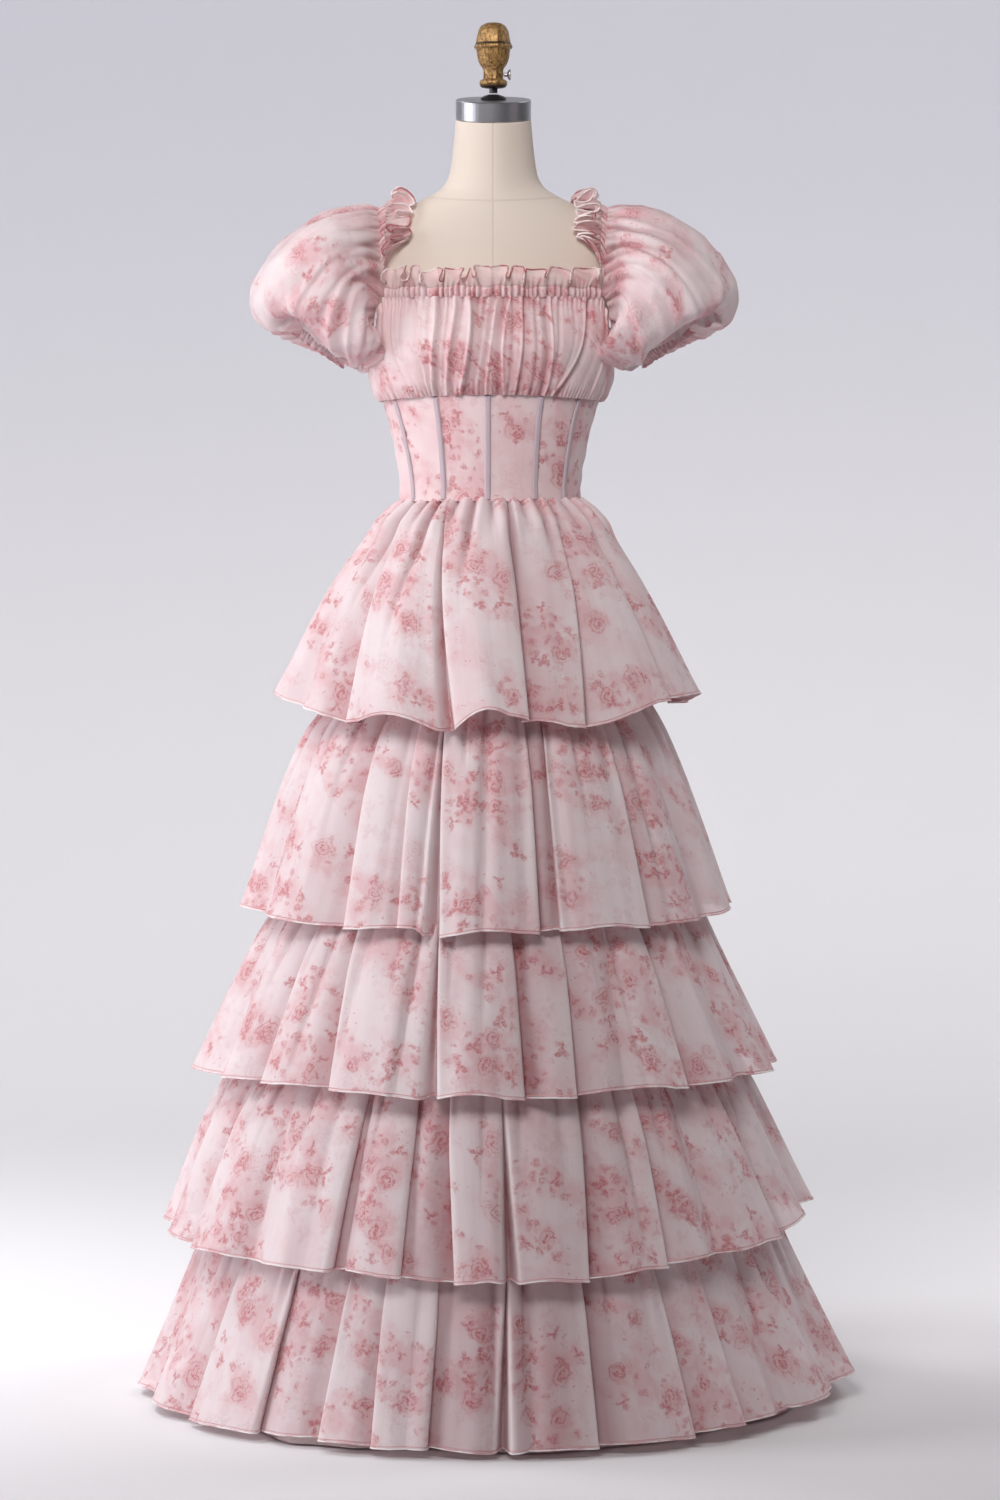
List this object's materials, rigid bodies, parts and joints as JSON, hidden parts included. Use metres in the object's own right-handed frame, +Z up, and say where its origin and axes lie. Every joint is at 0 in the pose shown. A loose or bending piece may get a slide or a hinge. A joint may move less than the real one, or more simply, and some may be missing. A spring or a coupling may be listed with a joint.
{
  "type": "prom dress on a dress form",
  "caption": "Off-shoulder prom dress with puff sleeves, frilled square neck, boned corset waist and tiered gathered skirt, standing on a limbless dress form with a round base",
  "frame": {"origin": "the floor under the form's post: the middle of the stand base's lower face", "axes": "+Z up, the front of the dress faces -Y, +X is the wearer's left"},
  "size_m": [0.8586, 0.8236, 1.6695],
  "materials": {
    "tier_organza": "sheer printed organza",
    "sleeve_organza": "sheer printed organza",
    "bodice_organza": "gathered printed organza over a backing",
    "corset_cloth": "backed printed cloth",
    "lining_cloth": "plain thin lining",
    "boning_channel": "satin tape",
    "zip_tape": "woven tape",
    "zip_metal": "enamelled",
    "form_linen": "stretched linen",
    "brushed_cap": "brushed",
    "antique_brass": "antiqued",
    "black_iron": "satin black"
  },
  "bodies": {
    "dress_on_form": {"tier_1": "tier_organza", "tier_2": "tier_organza", "tier_3": "tier_organza", "tier_4": "tier_organza", "tier_5": "tier_organza", "skirt_lining": "lining_cloth", "bust_front": "bodice_organza", "bust_back_l": "bodice_organza", "bust_back_r": "bodice_organza", "corset_front_l": "corset_cloth", "corset_front_r": "corset_cloth", "corset_side_front_l": "corset_cloth", "corset_side_front_r": "corset_cloth", "corset_side_l": "corset_cloth", "corset_side_r": "corset_cloth", "corset_side_back_l": "corset_cloth", "corset_side_back_r": "corset_cloth", "corset_back_l": "corset_cloth", "corset_back_r": "corset_cloth", "bone_front_r2": "boning_channel", "bone_front_r1": "boning_channel", "bone_front_c": "boning_channel", "bone_front_l1": "boning_channel", "bone_front_l2": "boning_channel", "bone_back_l2": "boning_channel", "bone_back_l1": "boning_channel", "bone_back_r1": "boning_channel", "bone_back_r2": "boning_channel", "sleeve_l": "sleeve_organza", "sleeve_r": "sleeve_organza", "cuff_l": "sleeve_organza", "cuff_r": "sleeve_organza", "neck_frill_front": "sleeve_organza", "neck_frill_l": "sleeve_organza", "neck_frill_back": "sleeve_organza", "neck_frill_r": "sleeve_organza", "back_zip": "zip_tape", "zip_slider": "zip_metal", "form_torso": "form_linen", "form_cap": "brushed_cap", "finial": "antique_brass", "neck_rod": "black_iron", "neck_washer": "black_iron", "stand_post": "black_iron", "stand_base": "black_iron"},
    "screw": {"thumb_screw": "brushed_cap"},
    "pull": {"zip_pull": "zip_metal"}
  },
  "joints": [
    {"name": "thumb_screw_turn", "type": "hinge", "parent": "dress_on_form", "child": "screw", "pos_m": [0.0123, -0.00408, 1.6065], "axis": [1, 0, 0], "continuous": true},
    {"name": "zip_pull_swing", "type": "hinge", "parent": "dress_on_form", "child": "pull", "pos_m": [-0.001, 0.1235, 1.327], "axis": [1, 0, 0], "range_deg": [0, 150]}
  ]
}
